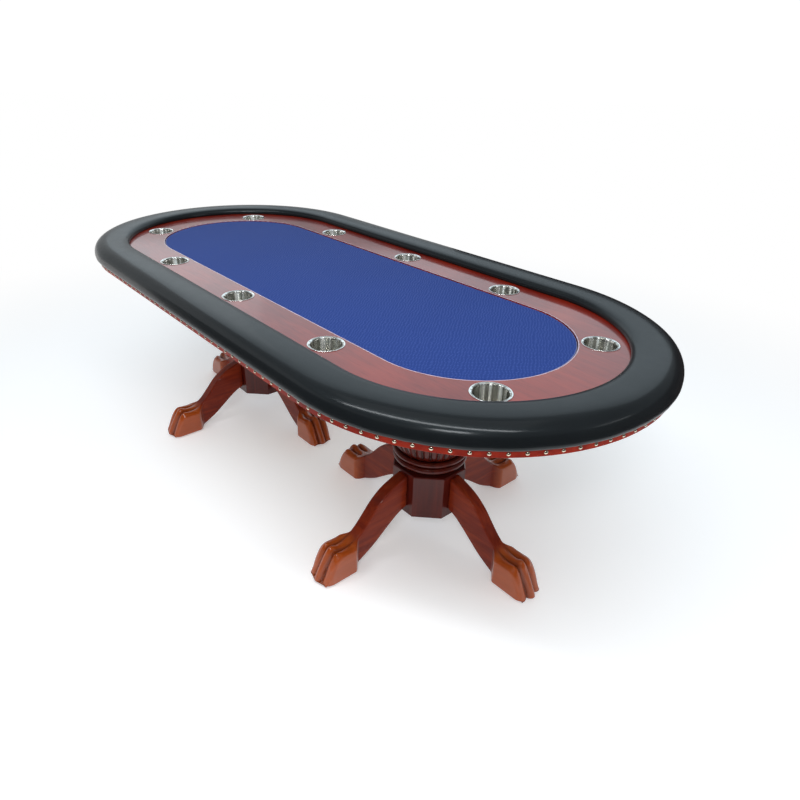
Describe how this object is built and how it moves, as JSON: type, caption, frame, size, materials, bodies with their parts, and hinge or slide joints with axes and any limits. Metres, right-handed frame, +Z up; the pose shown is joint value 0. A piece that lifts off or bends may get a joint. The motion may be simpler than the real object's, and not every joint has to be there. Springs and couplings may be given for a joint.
{
  "type": "poker table",
  "caption": "Oval poker table with a padded armrest, wooden racetrack, drop-in steel cups and a cloth playing surface on two claw-foot pedestals.",
  "frame": {"origin": "on the floor, under the middle of the table top", "axes": "+X along the table's length, +Y across it, +Z up"},
  "size_m": [2.3876, 1.118, 0.762],
  "materials": {
    "vinyl": "black upholstery vinyl, fine grain, soft sheen",
    "mahogany": "red mahogany stain under gloss lacquer",
    "plywood": "raw birch plywood",
    "pine": "planed softwood",
    "blue_cloth": "royal blue speed cloth with a small woven figure",
    "foam": "closed-cell foam underlay",
    "stainless_steel": "spun stainless steel, polished rim",
    "antique_brass": "antique brass nailheads, bright on the dome",
    "zinc": "zinc plated fasteners",
    "glide_plastic": "dark nylon floor glides"
  },
  "bodies": {
    "table": {"rail_cushion": "vinyl", "rail_core": "plywood", "deck": "plywood", "packing_ring": "plywood", "band": "mahogany", "racetrack": "mahogany", "nailheads": "antique_brass", "bearer_left_outer": "pine", "bearer_left_inner": "pine", "bearer_right_inner": "pine", "bearer_right_outer": "pine", "stretcher_front": "pine", "stretcher_back": "pine", "spine_left": "pine", "spine_right": "pine", "rail_bolts": "zinc", "block_left": "mahogany", "collar_left": "mahogany", "urn_left": "mahogany", "capital_left": "mahogany", "plate_left": "plywood", "plate_screws_left": "zinc", "tie_rod_left": "zinc", "leg_bolts_left": "zinc", "leg_left_east": "mahogany", "leg_left_north": "mahogany", "leg_left_west": "mahogany", "leg_left_south": "mahogany", "glides_left": "glide_plastic", "block_right": "mahogany", "collar_right": "mahogany", "urn_right": "mahogany", "capital_right": "mahogany", "plate_right": "plywood", "plate_screws_right": "zinc", "tie_rod_right": "zinc", "leg_bolts_right": "zinc", "leg_right_east": "mahogany", "leg_right_north": "mahogany", "leg_right_west": "mahogany", "leg_right_south": "mahogany", "glides_right": "glide_plastic"},
    "cup_1": {"cup_1": "stainless_steel"},
    "cup_2": {"cup_2": "stainless_steel"},
    "cup_3": {"cup_3": "stainless_steel"},
    "cup_4": {"cup_4": "stainless_steel"},
    "cup_5": {"cup_5": "stainless_steel"},
    "cup_6": {"cup_6": "stainless_steel"},
    "cup_7": {"cup_7": "stainless_steel"},
    "cup_8": {"cup_8": "stainless_steel"},
    "cup_9": {"cup_9": "stainless_steel"},
    "cup_10": {"cup_10": "stainless_steel"},
    "playing_surface": {"panel_board": "plywood", "panel_foam": "foam", "speed_cloth": "blue_cloth"}
  },
  "joints": [
    {"name": "cup_1_lift", "type": "slide", "parent": "table", "child": "cup_1", "axis": [0, 0, 1], "range_m": [0, 0.09]},
    {"name": "cup_2_lift", "type": "slide", "parent": "table", "child": "cup_2", "axis": [0, 0, 1], "range_m": [0, 0.09]},
    {"name": "cup_3_lift", "type": "slide", "parent": "table", "child": "cup_3", "axis": [0, 0, 1], "range_m": [0, 0.09]},
    {"name": "cup_4_lift", "type": "slide", "parent": "table", "child": "cup_4", "axis": [0, 0, 1], "range_m": [0, 0.09]},
    {"name": "cup_5_lift", "type": "slide", "parent": "table", "child": "cup_5", "axis": [0, 0, 1], "range_m": [0, 0.09]},
    {"name": "cup_6_lift", "type": "slide", "parent": "table", "child": "cup_6", "axis": [0, 0, 1], "range_m": [0, 0.09]},
    {"name": "cup_7_lift", "type": "slide", "parent": "table", "child": "cup_7", "axis": [0, 0, 1], "range_m": [0, 0.09]},
    {"name": "cup_8_lift", "type": "slide", "parent": "table", "child": "cup_8", "axis": [0, 0, 1], "range_m": [0, 0.09]},
    {"name": "cup_9_lift", "type": "slide", "parent": "table", "child": "cup_9", "axis": [0, 0, 1], "range_m": [0, 0.09]},
    {"name": "cup_10_lift", "type": "slide", "parent": "table", "child": "cup_10", "axis": [0, 0, 1], "range_m": [0, 0.09]},
    {"name": "playing_surface_lift", "type": "slide", "parent": "table", "child": "playing_surface", "axis": [0, 0, 1], "range_m": [0, 0.06]}
  ]
}
